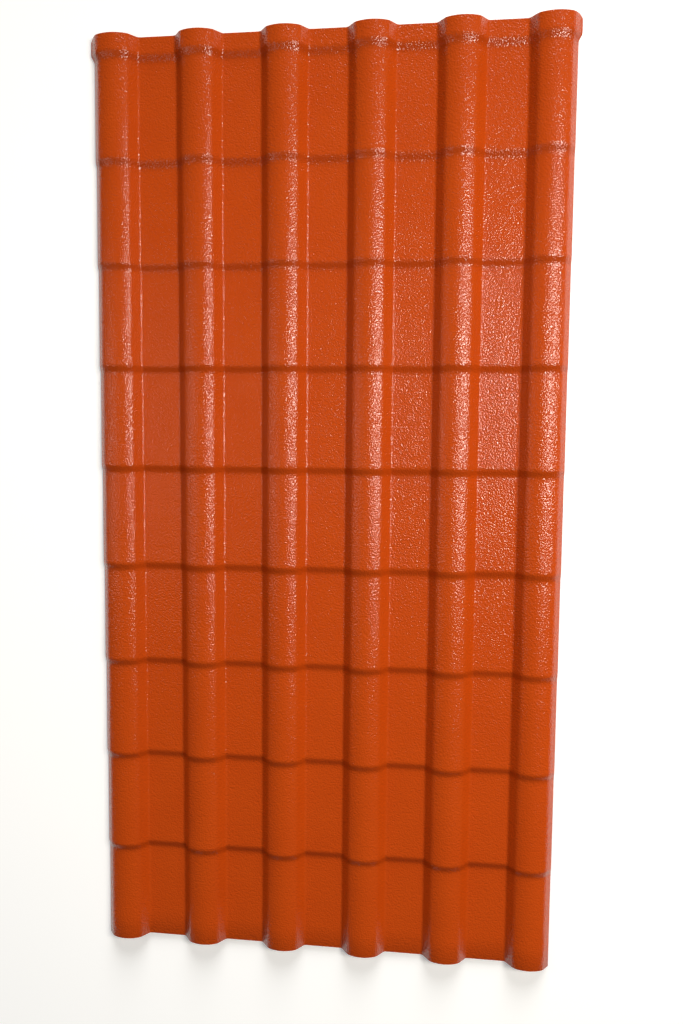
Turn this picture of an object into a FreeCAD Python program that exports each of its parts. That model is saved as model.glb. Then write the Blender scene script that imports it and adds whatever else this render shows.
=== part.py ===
import FreeCAD, Part
import Sketcher
import math
import os

from FreeCAD import Vector

# A tile effect roofing sheet: one moulded skin with rows of pressed tiles, barrel crowns running up
# the roof and flat pans between them. X runs across the sheet, Y up the roof, Z out of the roof.

os.makedirs("parts", exist_ok=True)
doc = FreeCAD.newDocument("tile_sheet")

SIZES = {
    # sheet module
    "wave_pitch": 160,
    "wave_count": 6,
    "row_pitch": 190,
    "row_count": 9,
    "sheet_thickness": 2.5,
    # one crown, foot to foot, measured on the weather face
    "crown_base": 86,
    "crown_height": 26,
    "flank_angle": 52,
    # the slope at which the top's wide arc passes into the shoulder's
    "shoulder_angle": 24,
    "shoulder_radius": 20,
    "foot_radius": 7,
    # from the outer crowns' axes to the free edges
    "edge_reach": 40,
    # the sloping step where one tile ends on the next
    "step_height": 5,
    "step_run": 16,
    # how far the lowest tile runs on past its row, to drip clear
    "eave_drip": 9,
    # the lip at the upper end, which the next sheet covers: its crowns and free edges stand out
    "lip_length": 29,
    "lip_flare": 2,
    "edge_flare": 6,
    "corner_radius": 8,
}


def make_sheet():
    """Set down the driving dimensions, each under its own name."""
    cells = doc.addObject("Spreadsheet::Sheet", "sizes")
    for row, (name, value) in enumerate(SIZES.items(), start=1):
        cells.set(f"A{row}", name)
        cells.set(f"B{row}", str(value))
        cells.setAlias(f"B{row}", name)
    doc.recompute()
    return cells


sizes = make_sheet()

# lengths that several features share
WAVE_HALF = "sizes.wave_pitch / 2"
TILE_SLOPE = "(sizes.step_height / (sizes.row_pitch - sizes.step_run))"
EAVE_RISE = f"(sizes.step_height + sizes.eave_drip * {TILE_SLOPE})"
ROWS_LENGTH = "(sizes.eave_drip + sizes.row_pitch * sizes.row_count)"
FOLD_PLACE = f"({ROWS_LENGTH} - sizes.step_run)"
WHOLE_LENGTH = f"({ROWS_LENGTH} + sizes.lip_length)"
COVER_HALF = "(sizes.wave_pitch * (sizes.wave_count - 1) / 2)"
EDGE_HALF = f"({COVER_HALF} + sizes.edge_reach)"
FLANK = "sizes.flank_angle * 1deg"
SHOULDER = "sizes.shoulder_angle * 1deg"


def size(expression):
    """Value of an expression in the sizes, for the places where geometry starts out."""
    value = sizes.evalExpression(expression)
    return float(getattr(value, "Value", value))


def origin_plane(body, role):
    return next(f for f in body.Origin.OriginFeatures if f.Role == role)


def add_sketch(body, name, role, offset):
    """A sketch on one of the body's origin planes; offset maps 'x', 'y', 'z' to expressions."""
    sketch = body.newObject("Sketcher::SketchObject", name)
    sketch.AttachmentSupport = [(origin_plane(body, role), "")]
    sketch.MapMode = "FlatFace"
    for axis, expression in offset.items():
        sketch.setExpression(f".AttachmentOffset.Base.{axis}", expression)
    return sketch


def constrain(sketch, name, expression, *terms):
    """A named dimension that follows the sizes."""
    index = sketch.addConstraint(Sketcher.Constraint(*terms, size(expression)))
    sketch.renameConstraint(index, name)
    sketch.setExpression(f"Constraints.{name}", expression)


def crown_radius(half_base):
    """Radius of the top's arc for a crown that wide at its base: the arc, the shoulder and the
    straight flank together reach from the crown's height down to the base."""
    across = f"({half_base} - sizes.shoulder_radius * (sin({FLANK}) - sin({SHOULDER})))"
    down = f"(sizes.crown_height - sizes.shoulder_radius * (cos({SHOULDER}) - cos({FLANK})))"
    turned = f"(sin({SHOULDER}) * sin({FLANK}) - (1 - cos({SHOULDER})) * cos({FLANK}))"
    return f"(({across} * sin({FLANK}) - {down} * cos({FLANK})) / {turned})"


def wave_face(foot, top_radius, inset):
    """Lay one face of a wave, left to right: pan, foot, flank, shoulder, top, and back down.

    foot is where the pan ends, and inset is 0 for the weather face and the sheet's thickness for
    the underside."""
    flank = math.radians(size("sizes.flank_angle"))
    shoulder = size("sizes.shoulder_radius")
    foot_radius = size("sizes.foot_radius")
    top_z = size("sizes.crown_height") - top_radius
    pan_end = size(WAVE_HALF)
    base = foot - foot_radius * math.tan(flank / 2)
    # the shoulder's centre lies one radius inside the flank and touches the top arc from within
    start_x = base - shoulder * math.sin(flank)
    start_z = -shoulder * math.cos(flank) - top_z
    along = start_x * math.cos(flank) - start_z * math.sin(flank)
    reach = start_x ** 2 + start_z ** 2 - (top_radius - shoulder) ** 2
    travel = -along - math.sqrt(along ** 2 - reach)
    centre_x = start_x + travel * math.cos(flank)
    centre_z = start_z + top_z - travel * math.sin(flank)
    top_half = math.atan2(centre_x, centre_z - top_z)

    up = math.pi / 2
    down = 3 * up

    def arc(x, z, radius, first, last):
        circle = Part.Circle(Vector(x, z, 0), Vector(0, 0, 1), radius)
        return Part.ArcOfCircle(circle, first, last)

    def line(x1, z1, x2, z2):
        return Part.LineSegment(Vector(x1, z1, 0), Vector(x2, z2, 0))

    foot_in = foot_radius + inset
    edge_x = foot - foot_in * math.sin(flank)
    edge_z = foot_radius - foot_in * math.cos(flank)
    shoulder_in = shoulder - inset
    rim_x = centre_x + shoulder_in * math.sin(flank)
    rim_z = centre_z + shoulder_in * math.cos(flank)
    return [
        line(-pan_end, -inset, -foot, -inset),
        arc(-foot, foot_radius, foot_in, down, down + flank),
        line(-edge_x, edge_z, -rim_x, rim_z),
        arc(-centre_x, centre_z, shoulder_in, up + top_half, up + flank),
        arc(0, top_z, top_radius - inset, up - top_half, up + top_half),
        arc(centre_x, centre_z, shoulder_in, up - flank, up - top_half),
        line(rim_x, rim_z, edge_x, edge_z),
        arc(foot, foot_radius, foot_in, down - flank, down),
        line(foot, -inset, pan_end, -inset),
    ]


# places of the nine stretches in a wave's face
PAN_LEFT, FOOT_LEFT, FLANK_LEFT, SHOULDER_LEFT, TOP = range(5)
SHOULDER_RIGHT, FLANK_RIGHT, FOOT_RIGHT, PAN_RIGHT = range(5, 9)
FACE_STRETCHES = 9
# which end of each stretch meets the next one: an arc runs anticlockwise
RUNS_BACK = {SHOULDER_LEFT, TOP, SHOULDER_RIGHT}
START, END, CENTRE = range(1, 4)


def join_face(sketch, first):
    """Make the stretches of one face tangent where they meet."""
    for stretch in range(FACE_STRETCHES - 1):
        leaving = START if stretch in RUNS_BACK else END
        arriving = END if stretch + 1 in RUNS_BACK else START
        ends = (first + stretch, leaving, first + stretch + 1, arriving)
        sketch.addConstraint(Sketcher.Constraint("Tangent", *ends))
    for pan in (PAN_LEFT, PAN_RIGHT):
        sketch.addConstraint(Sketcher.Constraint("Horizontal", first + pan))


def wave_section(body, name, up_roof, rise, spread):
    """The closed section of one wave, at up_roof along Y and raised by rise.

    spread is how far each foot of the crown stands out past its normal place."""
    place = {"x": f"-{COVER_HALF}", "y": rise, "z": f"-({up_roof})"}
    sketch = add_sketch(body, name, "XZ_Plane", place)
    half_base = f"(sizes.crown_base / 2 + {spread})"
    foot_reach = f"({half_base} + sizes.foot_radius * tan({FLANK} / 2))"
    top_round = crown_radius(half_base)
    foot = size(foot_reach)
    top_radius = size(top_round)
    thickness = size("sizes.sheet_thickness")
    pan_end = size(WAVE_HALF)
    sketch.addGeometry(wave_face(foot, top_radius, 0), False)
    sketch.addGeometry(wave_face(foot, top_radius, thickness), False)
    under = FACE_STRETCHES
    join_face(sketch, 0)
    join_face(sketch, under)

    ends = []
    for side in (-pan_end, pan_end):
        cut = Part.LineSegment(Vector(side, 0, 0), Vector(side, -thickness, 0))
        ends.append(sketch.addGeometry(cut, False))
    left, right = ends
    for cut, pan, tip in ((left, PAN_LEFT, START), (right, PAN_RIGHT, END)):
        sketch.addConstraint(Sketcher.Constraint("Coincident", cut, START, pan, tip))
        sketch.addConstraint(Sketcher.Constraint("Coincident", cut, END, under + pan, tip))
        sketch.addConstraint(Sketcher.Constraint("Vertical", cut))
    for stretch in (FOOT_LEFT, SHOULDER_LEFT, TOP, SHOULDER_RIGHT, FOOT_RIGHT):
        centres = (stretch, CENTRE, under + stretch, CENTRE)
        sketch.addConstraint(Sketcher.Constraint("Coincident", *centres))

    x_axis, y_axis = -1, -2
    sketch.addConstraint(Sketcher.Constraint("PointOnObject", PAN_LEFT, START, x_axis))
    sketch.addConstraint(Sketcher.Constraint("PointOnObject", PAN_RIGHT, END, x_axis))
    sketch.addConstraint(Sketcher.Constraint("PointOnObject", TOP, CENTRE, y_axis))
    sketch.addConstraint(Sketcher.Constraint("Equal", SHOULDER_LEFT, SHOULDER_RIGHT))
    sketch.addConstraint(Sketcher.Constraint("Equal", FOOT_LEFT, FOOT_RIGHT))

    constrain(sketch, "pan_end_left", f"-{WAVE_HALF}", "DistanceX", PAN_LEFT, START)
    constrain(sketch, "pan_end_right", WAVE_HALF, "DistanceX", PAN_RIGHT, END)
    constrain(sketch, "foot_left", f"-{foot_reach}", "DistanceX", PAN_LEFT, END)
    constrain(sketch, "foot_right", foot_reach, "DistanceX", PAN_RIGHT, START)
    constrain(sketch, "flank_left", FLANK, "Angle", FLANK_LEFT)
    constrain(sketch, "flank_right", f"-{FLANK}", "Angle", FLANK_RIGHT)
    constrain(sketch, "foot_round", "sizes.foot_radius", "Radius", FOOT_LEFT)
    constrain(sketch, "shoulder_round", "sizes.shoulder_radius", "Radius", SHOULDER_LEFT)
    constrain(sketch, "crown_round", top_round, "Radius", TOP)
    crown_centre = f"sizes.crown_height - {top_round}"
    constrain(sketch, "crown_centre", crown_centre, "DistanceY", TOP, CENTRE)
    constrain(sketch, "thickness_left", "sizes.sheet_thickness", "DistanceY", left, END, left, START)
    constrain(
        sketch, "thickness_right", "sizes.sheet_thickness", "DistanceY", right, END, right, START
    )
    under_top = f"{top_round} - sizes.sheet_thickness"
    constrain(sketch, "underside_round", under_top, "Radius", under + TOP)
    return sketch


def row_line(body):
    """The line that a wave follows up the sheet: every tile slopes down from its raised lower end
    to the fold, and the step climbs from there to the next tile's lower end."""
    sketch = add_sketch(body, "row_line", "YZ_Plane", {})
    tile = ("tile", "sizes.row_pitch - sizes.step_run", "-sizes.step_height")
    step = ("step", "sizes.step_run", "sizes.step_height")
    rows = int(size("sizes.row_count"))
    legs = [(row, *leg) for row in range(1, rows + 1) for leg in (tile, step)]
    # the lowest tile starts at the drip edge, and the widening lip makes the last step
    legs[0] = (1, "tile", "sizes.row_pitch - sizes.step_run + sizes.eave_drip", f"-{EAVE_RISE}")
    legs.pop()

    at = Vector(0, size(EAVE_RISE), 0)
    for index, (row, name, run, rise) in enumerate(legs):
        to = at + Vector(size(run), size(rise), 0)
        sketch.addGeometry(Part.LineSegment(at, to), False)
        if index:
            meet = (index - 1, END, index, START)
            sketch.addConstraint(Sketcher.Constraint("Coincident", *meet))
        constrain(sketch, f"{name}_run_{row}", run, "DistanceX", index, START, index, END)
        rise_terms = ("DistanceY", index, START, index, END)
        constrain(sketch, f"{name}_rise_{row}", rise, *rise_terms)
        at = to
    y_axis = -2
    sketch.addConstraint(Sketcher.Constraint("PointOnObject", 0, START, y_axis))
    constrain(sketch, "eave_rise", EAVE_RISE, "DistanceY", 0, START)
    return sketch


def plan_outline(body):
    """The sheet's outline from above, inside a wider frame: what lies between the two is cut away."""
    sketch = add_sketch(body, "plan_outline", "XY_Plane", {})
    edge = size(EDGE_HALF)
    flared = size(f"{EDGE_HALF} + sizes.edge_flare")
    fold_y = size(FOLD_PLACE)
    nose_y = size(ROWS_LENGTH)
    length = size(WHOLE_LENGTH)
    corner = size("sizes.corner_radius")
    margin = size("sizes.wave_pitch")
    quarter = math.pi / 2

    def line(x1, y1, x2, y2):
        return Part.LineSegment(Vector(x1, y1, 0), Vector(x2, y2, 0))

    def arc(x, y, first):
        circle = Part.Circle(Vector(x, y, 0), Vector(0, 0, 1), corner)
        return Part.ArcOfCircle(circle, first, first + quarter)

    bottom, right_side, right_flare, right_lip, right_corner = range(5)
    top, left_corner, left_lip, left_flare, left_side = range(5, 10)
    outline = [
        line(-edge, 0, edge, 0),
        line(edge, 0, edge, fold_y),
        line(edge, fold_y, flared, nose_y),
        line(flared, nose_y, flared, length - corner),
        arc(flared - corner, length - corner, 0),
        line(flared - corner, length, corner - flared, length),
        arc(corner - flared, length - corner, quarter),
        line(-flared, length - corner, -flared, nose_y),
        line(-flared, nose_y, -edge, fold_y),
        line(-edge, fold_y, -edge, 0),
    ]
    sketch.addGeometry(outline, False)
    corners = (right_corner, left_corner)
    for index in range(len(outline)):
        following = (index + 1) % len(outline)
        kind = "Tangent" if index in corners or following in corners else "Coincident"
        sketch.addConstraint(Sketcher.Constraint(kind, index, END, following, START))
    for upright in (right_side, right_lip, left_lip, left_side):
        sketch.addConstraint(Sketcher.Constraint("Vertical", upright))
    sketch.addConstraint(Sketcher.Constraint("Horizontal", bottom))
    x_axis = -1
    sketch.addConstraint(Sketcher.Constraint("PointOnObject", bottom, START, x_axis))
    constrain(sketch, "edge_left", f"-{EDGE_HALF}", "DistanceX", bottom, START)
    constrain(sketch, "edge_right", EDGE_HALF, "DistanceX", bottom, END)
    flare_place = f"{EDGE_HALF} + sizes.edge_flare"
    constrain(sketch, "lip_right", flare_place, "DistanceX", right_flare, END)
    constrain(sketch, "lip_left", f"-({flare_place})", "DistanceX", left_flare, START)
    constrain(sketch, "fold_right", FOLD_PLACE, "DistanceY", right_flare, START)
    constrain(sketch, "fold_left", FOLD_PLACE, "DistanceY", left_flare, END)
    constrain(sketch, "nose_right", ROWS_LENGTH, "DistanceY", right_flare, END)
    constrain(sketch, "nose_left", ROWS_LENGTH, "DistanceY", left_flare, START)
    constrain(sketch, "corner_right", "sizes.corner_radius", "Radius", right_corner)
    constrain(sketch, "corner_left", "sizes.corner_radius", "Radius", left_corner)
    constrain(sketch, "length", WHOLE_LENGTH, "DistanceY", top, START)

    # the wider frame, clear of the sheet all round by one wave
    frame = [
        (-flared - margin, -margin),
        (flared + margin, -margin),
        (flared + margin, length + margin),
        (-flared - margin, length + margin),
    ]
    first = len(outline)
    sides = list(zip(frame, frame[1:] + frame[:1]))
    sketch.addGeometry([line(*start, *end) for start, end in sides], False)
    for index, (start, end) in enumerate(sides):
        ends = (first + index, END, first + (index + 1) % len(sides), START)
        sketch.addConstraint(Sketcher.Constraint("Coincident", *ends))
        kind = "Horizontal" if start[1] == end[1] else "Vertical"
        sketch.addConstraint(Sketcher.Constraint(kind, first + index))
    low, high = first, first + 2
    frame_x = f"{flare_place} + sizes.wave_pitch"
    constrain(sketch, "frame_left", f"-({frame_x})", "DistanceX", low, START)
    constrain(sketch, "frame_right", frame_x, "DistanceX", low, END)
    constrain(sketch, "frame_low", "-sizes.wave_pitch", "DistanceY", low, START)
    frame_y = f"{WHOLE_LENGTH} + sizes.wave_pitch"
    constrain(sketch, "frame_high", frame_y, "DistanceY", high, START)
    return sketch


def tile_sheet():
    body = doc.addObject("PartDesign::Body", "tile_sheet")
    body.Label = "tile_sheet"

    # one wave, swept up the roof with its section kept upright
    section = wave_section(body, "wave_section", "0", EAVE_RISE, "0")
    line = row_line(body)
    doc.recompute()
    wave = body.newObject("PartDesign::AdditivePipe", "wave")
    wave.Profile = section
    wave.Spine = (line, [f"Edge{n + 1}" for n in range(line.GeometryCount)])
    wave.Mode = "Fixed"
    wave.Refine = False
    doc.recompute()

    # the lip: the crown widens over the last step and keeps that width to the upper edge
    upper_edge_rise = f"sizes.step_height - sizes.lip_length * {TILE_SLOPE}"
    stations = [
        (FOLD_PLACE, "0", "0"),
        (ROWS_LENGTH, "sizes.step_height", "sizes.lip_flare"),
        (WHOLE_LENGTH, upper_edge_rise, "sizes.lip_flare"),
    ]
    sections = [
        wave_section(body, f"lip_section_{n}", *station) for n, station in enumerate(stations)
    ]
    doc.recompute()
    lip = body.newObject("PartDesign::AdditiveLoft", "lip")
    lip.Profile = sections[0]
    lip.Sections = sections[1:]
    lip.Ruled = True
    lip.Refine = False
    doc.recompute()

    # the same wave again and again across the sheet
    waves = body.newObject("PartDesign::LinearPattern", "waves")
    waves.Originals = [wave, lip]
    waves.Direction = (origin_plane(body, "X_Axis"), [""])
    waves.Mode = "Spacing"
    waves.setExpression("Offset", "sizes.wave_pitch")
    waves.setExpression("Occurrences", "sizes.wave_count")
    body.Tip = waves
    doc.recompute()

    # the outer half pans go, and the free edges get their flare and rounded corners
    before = body.Shape.Volume
    trim = body.newObject("PartDesign::Pocket", "trim")
    trim.Profile = plan_outline(body)
    trim.Type = "ThroughAll"
    trim.Midplane = True
    trim.Refine = False
    doc.recompute()
    if body.Shape.Volume >= before:
        raise RuntimeError("the trim cut nothing away")
    return body


def set_down(body):
    """Lay the sheet on the floor: the origin lies under its middle, and its folds touch the floor."""
    body.setExpression(".Placement.Base.y", f"-{WHOLE_LENGTH} / 2")
    body.setExpression(".Placement.Base.z", "sizes.sheet_thickness")
    doc.recompute()


def check(body):
    for item in doc.Objects:
        if {"Invalid", "Error"} & set(item.State):
            raise RuntimeError(f"{item.Name} failed: {item.State}")
    if body.Shape.isNull() or not body.Shape.isValid() or len(body.Shape.Solids) != 1:
        raise RuntimeError(f"{body.Label} is not one valid solid")


sheet = tile_sheet()
set_down(sheet)
check(sheet)
box = sheet.Shape.BoundBox
print(sheet.Label, round(sheet.Shape.Volume), "mm3,", len(sheet.Shape.Faces), "faces", box)
sheet.Shape.exportStep(f"parts/{sheet.Label}.step")
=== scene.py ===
import math

import bpy
from mathutils import Matrix, Vector


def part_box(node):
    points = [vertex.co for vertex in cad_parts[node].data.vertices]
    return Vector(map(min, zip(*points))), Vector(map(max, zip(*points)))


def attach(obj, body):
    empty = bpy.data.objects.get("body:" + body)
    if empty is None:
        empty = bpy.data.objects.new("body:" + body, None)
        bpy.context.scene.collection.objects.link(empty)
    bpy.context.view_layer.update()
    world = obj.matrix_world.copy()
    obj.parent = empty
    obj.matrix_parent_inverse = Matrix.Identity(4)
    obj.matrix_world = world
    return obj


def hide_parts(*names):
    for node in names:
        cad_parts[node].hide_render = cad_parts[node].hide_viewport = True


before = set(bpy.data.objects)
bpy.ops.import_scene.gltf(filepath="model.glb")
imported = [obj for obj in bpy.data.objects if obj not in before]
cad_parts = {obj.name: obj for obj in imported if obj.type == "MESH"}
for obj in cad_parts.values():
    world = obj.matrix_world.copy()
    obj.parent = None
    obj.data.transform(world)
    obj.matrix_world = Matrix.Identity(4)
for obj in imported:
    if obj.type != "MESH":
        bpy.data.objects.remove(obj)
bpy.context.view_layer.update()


# The sheet: one skin of co-extruded acrylic-capped resin, pressed hot in a stepped mould, so that
# its crowns, tiles and lip are a single piece. All its folds are soft, and the cut rim has lost its
# sharpness. It lies on the lowest folds of its pans.
MM = 0.001
WAVE_PITCH = 160 * MM
WAVE_COUNT = 6
ROW_PITCH = 190 * MM
ROW_COUNT = 9
SKIN = 2.5 * MM
CROWN_BASE = 86 * MM
CROWN_HEIGHT = 26 * MM
# the slope at which the top's wide arc passes into the shoulder's
SHOULDER = math.radians(24)
SHOULDER_RADIUS = 20 * MM
FOOT_RADIUS = 7 * MM
FLANK = math.radians(52)
EDGE_REACH = 40 * MM
STEP_HEIGHT = 5 * MM
STEP_RUN = 16 * MM
# between its roundings the step is steeper than over its whole run
STEP_FACE = 11 * MM
# how far the rounding of a nose and of a fold reaches along the tile
SOFTNESS = 5.5 * MM
EAVE_DRIP = 9 * MM
LIP_LENGTH = 29 * MM
LIP_FLARE = 2 * MM
EDGE_FLARE = 6 * MM
CORNER_RADIUS = 8 * MM
RIM_ROUNDING = 0.6 * MM
# the mesh's cuts: in each arc of a crown, across a pan, and from an outer crown's top to its free
# edge in even lengths
ARC_CUTS = 7
PAN_CUTS = 4
EDGE_CUTS = 26


def crown_half(base):
    """The weather face of half a crown: top, shoulder, flank and foot, from the crown's axis out."""
    # arc, shoulder and straight flank together reach from the crown's height down to the base
    across = base - SHOULDER_RADIUS * (math.sin(FLANK) - math.sin(SHOULDER))
    down = CROWN_HEIGHT - SHOULDER_RADIUS * (math.cos(SHOULDER) - math.cos(FLANK))
    turned = math.sin(SHOULDER) * math.sin(FLANK) - (1 - math.cos(SHOULDER)) * math.cos(FLANK)
    top_radius = (across * math.sin(FLANK) - down * math.cos(FLANK)) / turned
    top = Vector((0, 0, CROWN_HEIGHT - top_radius))
    shoulder = top + Vector((math.sin(SHOULDER), 0, math.cos(SHOULDER))) * (top_radius - SHOULDER_RADIUS)
    foot = Vector((base + FOOT_RADIUS * math.tan(FLANK / 2), 0, FOOT_RADIUS))

    def arc(centre, radius, first, last):
        """Points on an arc; its angles lean out from straight up."""
        turns = [first + (last - first) * cut / ARC_CUTS for cut in range(ARC_CUTS + 1)]
        return [centre + Vector((math.sin(turn), 0, math.cos(turn))) * radius for turn in turns]

    top_arc = arc(top, top_radius, 0, SHOULDER)
    shoulder_arc = arc(shoulder, SHOULDER_RADIUS, SHOULDER, FLANK)
    foot_arc = arc(foot, FOOT_RADIUS, FLANK + math.pi, math.pi)
    return top_arc[:-1] + shoulder_arc + foot_arc


def cut_free(half, reach):
    """The half crown up to where its free edge is cut, in even lengths."""
    inner = [point for point in half if point.x < reach]
    last, beyond = half[len(inner) - 1:len(inner) + 1]
    share = (reach - last.x) / (beyond.x - last.x)
    line = inner + [last.lerp(beyond, share)]
    lengths = [0.0]
    for here, there in zip(line, line[1:]):
        lengths.append(lengths[-1] + (there - here).length)
    even = []
    for cut in range(EDGE_CUTS + 1):
        length = lengths[-1] * cut / EDGE_CUTS
        stretch = max(n for n in range(len(line) - 1) if lengths[n] <= length)
        share = (length - lengths[stretch]) / (lengths[stretch + 1] - lengths[stretch])
        even.append(line[stretch].lerp(line[stretch + 1], share))
    return even


def section_line(base, reach):
    """The whole weather face in section, from free edge to free edge."""
    half = crown_half(base)
    outer = cut_free(half, reach)
    foot = half[-1].x
    pan_width = WAVE_PITCH - 2 * foot
    pan = [Vector((foot + pan_width * cut / PAN_CUTS, 0, 0)) for cut in range(1, PAN_CUTS)]
    line = []
    for wave in range(WAVE_COUNT):
        axis = Vector((WAVE_PITCH * (wave - (WAVE_COUNT - 1) / 2), 0, 0))
        left = outer if wave == 0 else half
        right = outer if wave == WAVE_COUNT - 1 else half + pan
        line += [axis + Vector((-point.x, 0, point.z)) for point in reversed(left)]
        line += [axis + point for point in right[1:]]
    return line


def section_mesh():
    """The section as a chain of points, each with its own place in the wider lip."""
    tile_line = section_line(CROWN_BASE / 2, EDGE_REACH)
    lip_line = section_line(CROWN_BASE / 2 + LIP_FLARE, EDGE_REACH + EDGE_FLARE)
    mesh = bpy.data.meshes.new("section")
    mesh.from_pydata(tile_line, [(n, n + 1) for n in range(len(tile_line) - 1)], [])
    in_lip = mesh.attributes.new("in_lip", "FLOAT_VECTOR", "POINT")
    in_lip.data.foreach_set("vector", [part for point in lip_line for part in point])
    return mesh


def add_node(tree, kind, settings, links):
    """A new node with its settings made; a link is a socket to join, or a plain value to set."""
    node = tree.nodes.new(kind)
    for name, value in settings.items():
        setattr(node, name, value)
    for key, value in links.items():
        if isinstance(value, bpy.types.NodeSocket):
            tree.links.new(value, node.inputs[key])
        else:
            node.inputs[key].default_value = value
    return node


def run_up_roof(section, sizes, counts, material):
    """Sweep the section up the roof: a grid takes each column from the section and each line from
    the run of tiles, whose steps are rounded by a smooth maximum in the fold and a smooth minimum
    at the nose."""
    tree = bpy.data.node_groups.new("run_up_roof", "GeometryNodeTree")
    tree.interface.new_socket("Section", in_out="INPUT", socket_type="NodeSocketGeometry")
    for name in sizes:
        tree.interface.new_socket(name, in_out="INPUT", socket_type="NodeSocketFloat")
    for name in counts:
        tree.interface.new_socket(name, in_out="INPUT", socket_type="NodeSocketInt")
    tree.interface.new_socket("Sheet", in_out="OUTPUT", socket_type="NodeSocketGeometry")
    given = add_node(tree, "NodeGroupInput", {}, {}).outputs

    def calc(operation, *values):
        links = dict(enumerate(values))
        return add_node(tree, "ShaderNodeMath", {"operation": operation}, links).outputs[0]

    def either(condition, true, false):
        links = {"Switch": condition, "True": true, "False": false}
        return add_node(tree, "GeometryNodeSwitch", {"input_type": "FLOAT"}, links).outputs[0]

    def spaced(value, last, start, end):
        links = {"Value": value, "From Max": last, "To Min": start, "To Max": end}
        return add_node(tree, "ShaderNodeMapRange", {"clamp": False}, links).outputs[0]

    per_row = calc("ADD", given["Cuts per Tile"], given["Cuts per Step"])
    whole_rows = calc("MULTIPLY", per_row, given["Rows"])
    lines = calc("ADD", calc("ADD", whole_rows, given["Cuts in Lip"]), 1)
    columns = add_node(tree, "GeometryNodeAttributeDomainSize", {}, {"Geometry": given["Section"]})
    point_count = columns.outputs["Point Count"]
    grid = add_node(tree, "GeometryNodeMeshGrid", {}, {"Vertices X": point_count, "Vertices Y": lines})
    index = add_node(tree, "GeometryNodeInputIndex", {}, {}).outputs[0]
    column = calc("FLOOR", calc("DIVIDE", calc("ADD", index, 0.5), lines))
    line = calc("SUBTRACT", index, calc("MULTIPLY", column, lines))

    # the height of this line's place up the roof, from the nose at which its tile starts
    row = calc("MINIMUM", calc("FLOOR", calc("DIVIDE", calc("ADD", line, 0.5), per_row)), given["Rows"])
    cut = calc("SUBTRACT", line, calc("MULTIPLY", row, per_row))
    in_lip = calc("GREATER_THAN", row, calc("SUBTRACT", given["Rows"], 0.5))
    in_step = calc("GREATER_THAN", cut, calc("SUBTRACT", given["Cuts per Tile"], 0.5))
    eave = calc("MULTIPLY", given["Eave Drip"], -1)
    start = either(calc("LESS_THAN", row, 0.5), eave, given["Softness"])
    tile_run = calc("SUBTRACT", given["Row Pitch"], given["Step Run"])
    step_from = calc("SUBTRACT", tile_run, given["Softness"])
    step_to = calc("ADD", given["Row Pitch"], given["Softness"])
    cut_in_step = calc("SUBTRACT", cut, given["Cuts per Tile"])
    in_tile_place = spaced(cut, given["Cuts per Tile"], start, step_from)
    in_step_place = spaced(cut_in_step, given["Cuts per Step"], step_from, step_to)
    # the lip's lines close up towards its rounded corners
    eased = calc("SINE", calc("MULTIPLY", calc("DIVIDE", cut, given["Cuts in Lip"]), math.pi / 2))
    in_lip_place = spaced(eased, 1.0, start, given["Lip Length"])
    local = either(in_lip, in_lip_place, either(in_step, in_step_place, in_tile_place))
    nose = calc("ADD", calc("MULTIPLY", row, given["Row Pitch"]), given["Lowest Nose"])
    up_roof = calc("ADD", local, nose)

    # its rise: down the tile, up the step, and on down the next tile
    to_next_nose = either(in_lip, 0.0, given["Row Pitch"])
    past_fold = calc("ADD", local, calc("SUBTRACT", given["Step Run"], to_next_nose))
    tile_slope = calc("DIVIDE", given["Step Height"], tile_run)
    step_slope = calc("DIVIDE", given["Step Height"], given["Step Face"])
    rounding = calc("MULTIPLY", given["Softness"], calc("ADD", tile_slope, step_slope))
    this_tile = calc("MULTIPLY", past_fold, calc("MULTIPLY", tile_slope, -1))
    past_middle = calc("SUBTRACT", past_fold, calc("DIVIDE", given["Step Run"], 2))
    half_height = calc("DIVIDE", given["Step Height"], 2)
    step_face = calc("ADD", calc("MULTIPLY", past_middle, step_slope), half_height)
    past_nose = calc("SUBTRACT", past_fold, given["Step Run"])
    next_tile = calc("SUBTRACT", given["Step Height"], calc("MULTIPLY", past_nose, tile_slope))
    folded = calc("SMOOTH_MAX", this_tile, step_face, rounding)
    rise = calc("SMOOTH_MIN", folded, next_tile, rounding)

    # over the last step the crowns widen, and they stay so to the upper edge
    last_nose = calc("ADD", given["Lowest Nose"], calc("MULTIPLY", given["Rows"], given["Row Pitch"]))
    last_fold = calc("SUBTRACT", last_nose, given["Step Run"])
    widening = add_node(
        tree,
        "ShaderNodeMapRange",
        {"interpolation_type": "SMOOTHSTEP"},
        {"Value": up_roof, "From Min": last_fold, "From Max": last_nose},
    ).outputs[0]

    # near the upper edge the free edges draw in, round the corner
    top_edge = calc("ADD", last_nose, given["Lip Length"])
    into_corner = calc("SUBTRACT", up_roof, calc("SUBTRACT", top_edge, given["Corner Radius"]))
    into_arc = calc("MAXIMUM", calc("DIVIDE", into_corner, given["Corner Radius"]), 0.0)
    share = calc("MINIMUM", into_arc, 1.0)
    left_over = calc("SQRT", calc("SUBTRACT", 1.0, calc("MULTIPLY", share, share)))
    draw_in = calc("MULTIPLY", calc("SUBTRACT", 1.0, left_over), given["Corner Cuts"])

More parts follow.
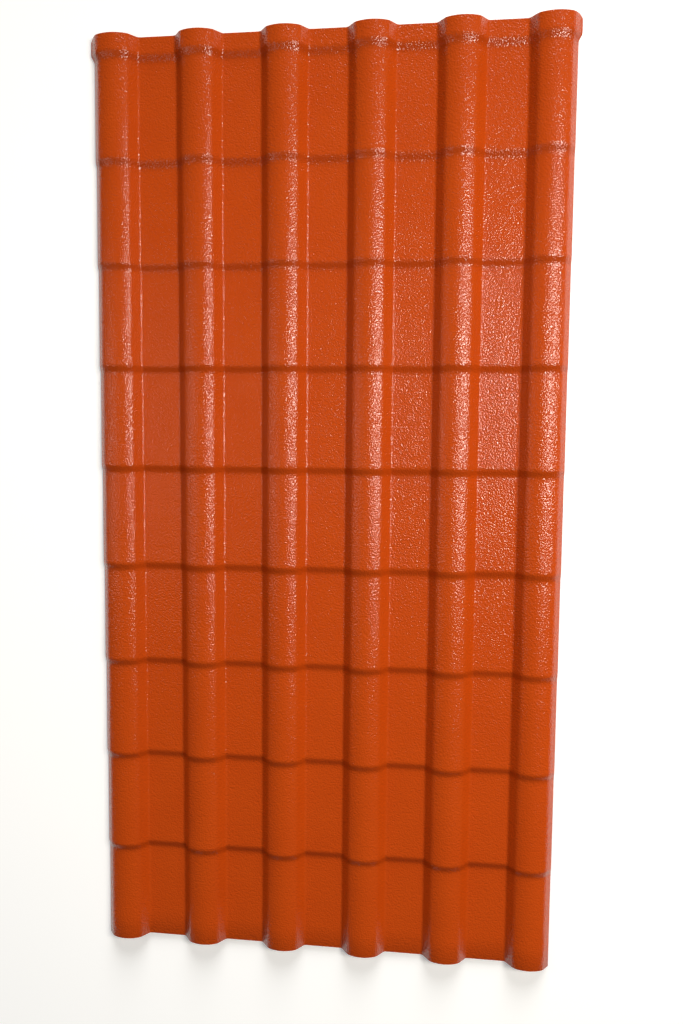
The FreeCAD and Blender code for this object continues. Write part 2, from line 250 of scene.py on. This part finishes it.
    middle = calc("DIVIDE", calc("SUBTRACT", point_count, 1), 2)
    off_middle = calc("SUBTRACT", column, middle)
    side = calc("SIGN", off_middle)
    from_edge = calc("SUBTRACT", middle, calc("ABSOLUTE", off_middle))
    off_edge = calc("DIVIDE", from_edge, given["Edge Cuts"])
    edge_share = calc("MAXIMUM", calc("SUBTRACT", 1.0, off_edge), 0.0)
    pulled = calc("MULTIPLY", calc("MULTIPLY", edge_share, draw_in), side)
    place = calc("SUBTRACT", column, pulled)
    below = calc("FLOOR", place)

    def between(share, first, second):
        links = {0: share, 4: first, 5: second}
        return add_node(tree, "ShaderNodeMix", {"data_type": "VECTOR"}, links).outputs[1]

    def on_section(places):
        """A place on the section between two of its points."""
        def at_point(where):
            settings = {"data_type": "FLOAT_VECTOR", "clamp": True}
            links = {"Geometry": given["Section"], "Value": places, "Index": where}
            return add_node(tree, "GeometryNodeSampleIndex", settings, links).outputs[0]

        return between(calc("SUBTRACT", place, below), at_point(below), at_point(calc("ADD", below, 1)))

    tile_place = add_node(tree, "GeometryNodeInputPosition", {}, {}).outputs[0]
    lip_place = add_node(
        tree, "GeometryNodeInputNamedAttribute", {"data_type": "FLOAT_VECTOR"}, {"Name": "in_lip"}
    ).outputs[0]
    in_section = between(widening, on_section(tile_place), on_section(lip_place))
    shift = add_node(tree, "ShaderNodeCombineXYZ", {}, {"Y": up_roof, "Z": rise}).outputs[0]
    placed = add_node(
        tree, "ShaderNodeVectorMath", {"operation": "ADD"}, {0: in_section, 1: shift}
    ).outputs[0]
    moved = add_node(
        tree, "GeometryNodeSetPosition", {}, {"Geometry": grid.outputs["Mesh"], "Position": placed}
    ).outputs[0]
    smooth = add_node(
        tree, "GeometryNodeSetShadeSmooth", {}, {"Geometry": moved, "Shade Smooth": True}
    ).outputs[0]
    real = add_node(tree, "GeometryNodeRealizeInstances", {}, {"Geometry": smooth}).outputs[0]
    finished = add_node(
        tree, "GeometryNodeSetMaterial", {}, {"Geometry": real, "Material": material}
    ).outputs[0]
    add_node(tree, "NodeGroupOutput", {}, {"Sheet": finished})

    host = bpy.data.objects.new("run_up_roof", section)
    bpy.context.scene.collection.objects.link(host)
    sweep = host.modifiers.new("run_up_roof", "NODES")
    sweep.node_group = tree
    for item in tree.interface.items_tree:
        if item.in_out == "INPUT" and item.name in {**sizes, **counts}:
            sweep[item.identifier] = {**sizes, **counts}[item.name]
    wall = host.modifiers.new("wall", "SOLIDIFY")
    wall.thickness = SKIN
    wall.offset = -1
    wall.use_even_offset = True
    rim = host.modifiers.new("rim", "BEVEL")
    rim.width = RIM_ROUNDING
    rim.segments = 2
    rim.limit_method = "ANGLE"
    rim.angle_limit = math.radians(60)
    bpy.context.view_layer.update()
    depsgraph = bpy.context.evaluated_depsgraph_get()
    mesh = bpy.data.meshes.new_from_object(host.evaluated_get(depsgraph))
    bpy.data.objects.remove(host)
    return mesh


def linear(hex_colour):
    """An sRGB colour such as "c84a18" as linear values with full opacity."""
    channels = [int(hex_colour[n:n + 2], 16) / 255 for n in (0, 2, 4)]
    return [c / 12.92 if c <= 0.04045 else ((c + 0.055) / 1.055) ** 2.4 for c in channels] + [1.0]


def moulded_resin():
    """Acrylic-capped resin, hot pressed against a leather-grained mould: a satin gloss whose
    highlights break up into fine glints."""
    material = bpy.data.materials.new("moulded_resin")
    material.use_nodes = True
    tree = material.node_tree
    shader = tree.nodes["Principled BSDF"]
    shader.inputs["IOR"].default_value = 1.54
    shader.inputs["Roughness"].default_value = 0.22
    grain_width = 3.0 * MM
    grain_depth = 0.7 * MM
    place = add_node(tree, "ShaderNodeTexCoord", {}, {}).outputs["Object"]
    wander = add_node(
        tree, "ShaderNodeTexNoise", {}, {"Vector": place, "Scale": 0.5 / grain_width, "Detail": 2.0}
    ).outputs["Color"]
    pushed = add_node(
        tree, "ShaderNodeVectorMath", {"operation": "MULTIPLY_ADD"},
        {0: wander, 1: (grain_width, grain_width, grain_width), 2: place},
    ).outputs[0]
    cells = add_node(
        tree, "ShaderNodeTexVoronoi", {"feature": "SMOOTH_F1"},
        {"Vector": pushed, "Scale": 1 / grain_width, "Smoothness": 0.4},
    ).outputs["Distance"]
    bump = add_node(
        tree, "ShaderNodeBump", {"invert": True},
        {"Height": cells, "Distance": grain_depth, "Strength": 1.0},
    ).outputs[0]
    tree.links.new(bump, shader.inputs["Normal"])
    # the pigment is a shade uneven over a hand's width
    cloud_width = 90 * MM
    cloud = add_node(
        tree, "ShaderNodeTexNoise", {}, {"Vector": place, "Scale": 1 / cloud_width, "Detail": 3.0}
    )
    colour = add_node(
        tree, "ShaderNodeMix", {"data_type": "RGBA"},
        {"Factor": cloud.outputs["Fac"], 6: linear("c24609"), 7: linear("ca4d0d")},
    ).outputs[2]
    tree.links.new(colour, shader.inputs["Base Color"])
    return material


lip_edge = EDGE_REACH + EDGE_FLARE
lip_outer = cut_free(crown_half(CROWN_BASE / 2 + LIP_FLARE), lip_edge)
corner_cuts = sum(point.x > lip_edge - CORNER_RADIUS for point in lip_outer)
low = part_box("tile_sheet")[0]
roof_sizes = {
    "Lowest Nose": low.y + EAVE_DRIP,
    "Row Pitch": ROW_PITCH,
    "Step Height": STEP_HEIGHT,
    "Step Run": STEP_RUN,
    "Step Face": STEP_FACE,
    "Softness": SOFTNESS,
    "Eave Drip": EAVE_DRIP,
    "Lip Length": LIP_LENGTH,
    "Corner Radius": CORNER_RADIUS,
}
roof_counts = {
    "Rows": ROW_COUNT,
    "Cuts per Tile": 4,
    "Cuts per Step": 12,
    "Cuts in Lip": 16,
    "Edge Cuts": EDGE_CUTS,
    "Corner Cuts": corner_cuts,
}
resin = moulded_resin()
sheet_mesh = run_up_roof(section_mesh(), roof_sizes, roof_counts, resin)
sheet_mesh.transform(Matrix.Translation((0, 0, SKIN)))
sheet_mesh.name = "tile_skin"
tile_skin = bpy.data.objects.new("tile_skin", sheet_mesh)
bpy.context.scene.collection.objects.link(tile_skin)
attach(tile_skin, "root")
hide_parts("tile_sheet")


# The studio: a pale floor, a tall narrow lamp high on the sheet's right that draws the gloss along
# the crowns, a weak one on its left, a wide low window beyond its upper edge, and a faint even sky.
FLOOR_SIZE = 40.0
floor_mesh = bpy.data.meshes.new("floor")
corner = FLOOR_SIZE / 2
floor_corners = [(-corner, -corner, 0), (corner, -corner, 0), (corner, corner, 0), (-corner, corner, 0)]
floor_mesh.from_pydata(floor_corners, [], [(0, 1, 2, 3)])
floor = bpy.data.objects.new("floor", floor_mesh)
bpy.context.scene.collection.objects.link(floor)


def white_paint():
    """Matt white paint, rolled on a smooth studio floor: it stays white in the picture and still
    shows the sheet's shadow."""
    material = bpy.data.materials.new("white_paint")
    material.use_nodes = True
    tree = material.node_tree
    shader = tree.nodes["Principled BSDF"]
    shader.inputs["Base Color"].default_value = linear("f4f4f2")
    shader.inputs["Roughness"].default_value = 0.9
    rays = add_node(tree, "ShaderNodeLightPath", {}, {}).outputs
    mirrored = add_node(
        tree, "ShaderNodeMath", {"operation": "MAXIMUM"},
        {0: rays["Is Glossy Ray"], 1: rays["Is Transmission Ray"]},
    ).outputs[0]
    seen = add_node(
        tree, "ShaderNodeMath", {"operation": "MAXIMUM"}, {0: rays["Is Camera Ray"], 1: mirrored}
    ).outputs[0]
    lift = add_node(tree, "ShaderNodeMath", {"operation": "MULTIPLY"}, {0: seen, 1: 0.35}).outputs[0]
    glow = add_node(tree, "ShaderNodeEmission", {}, {"Strength": lift}).outputs[0]
    both = add_node(tree, "ShaderNodeAddShader", {}, {0: shader.outputs[0], 1: glow}).outputs[0]
    tree.links.new(both, tree.nodes["Material Output"].inputs["Surface"])
    return material


floor_mesh.materials.append(white_paint())


def soft_lamp(name, place, aim, size, power, tint):
    """A rectangular soft box that faces the aim."""
    data = bpy.data.lights.new(name, "AREA")
    data.shape = "RECTANGLE"
    data.size, data.size_y = size
    data.energy = power
    data.color = linear(tint)[:3]
    lamp = bpy.data.objects.new(name, data)
    bpy.context.scene.collection.objects.link(lamp)
    turn = (aim - place).to_track_quat("-Z", "Y").to_matrix().to_4x4()
    lamp.matrix_world = Matrix.Translation(place) @ turn
    lamp.visible_camera = False


middle = Vector((0, 0.1, 0))
soft_lamp("key", Vector((1.45, 0.5, 2.2)), middle, (0.3, 0.9), 48, "fff8ec")
soft_lamp("left", Vector((-1.7, 0.2, 1.6)), middle, (0.3, 1.6), 5, "fffaf0")
# it stands 20 degrees above the floor, so that the steps, which face away from it, go dark
window_data = bpy.data.lights.new("low_window", "SUN")
window_data.energy = 2.75
window_data.angle = math.radians(30)
window = bpy.data.objects.new("low_window", window_data)
bpy.context.scene.collection.objects.link(window)
window.rotation_euler = (math.radians(-70), 0, math.radians(-8))

world = bpy.data.worlds.new("studio")
bpy.context.scene.world = world
world.use_nodes = True
world.node_tree.nodes["Background"].inputs["Color"].default_value = linear("ffffff")
world.node_tree.nodes["Background"].inputs["Strength"].default_value = 0.04


# The camera: a short lens above the sheet, a little up the roof and to the right of its middle.
FRAME_HEIGHT_PX = 1024
FOCAL_LENGTH_PX = 830.6
camera_data = bpy.data.cameras.new("camera")
camera_data.sensor_width = 36.0
camera_data.lens = camera_data.sensor_width * FOCAL_LENGTH_PX / FRAME_HEIGHT_PX
camera = bpy.data.objects.new("camera", camera_data)
bpy.context.scene.collection.objects.link(camera)
camera_place = Vector((0.2154, 0.1523, 1.5633))
camera_aim = Vector((0.0306, -0.0001, 0.0075))
# the picture's upper side is up the roof, and the camera is rolled a little to the left
backward = (camera_place - camera_aim).normalized()
rightward = Vector((0, 1, 0)).cross(backward).normalized()
camera_turn = Matrix((rightward, backward.cross(rightward), backward)).transposed().to_4x4()
camera_roll = Matrix.Rotation(math.radians(0.45), 4, "Z")
camera.matrix_world = Matrix.Translation(camera_place) @ camera_turn @ camera_roll
bpy.context.scene.camera = camera
bpy.context.scene.view_settings.view_transform = "Standard"
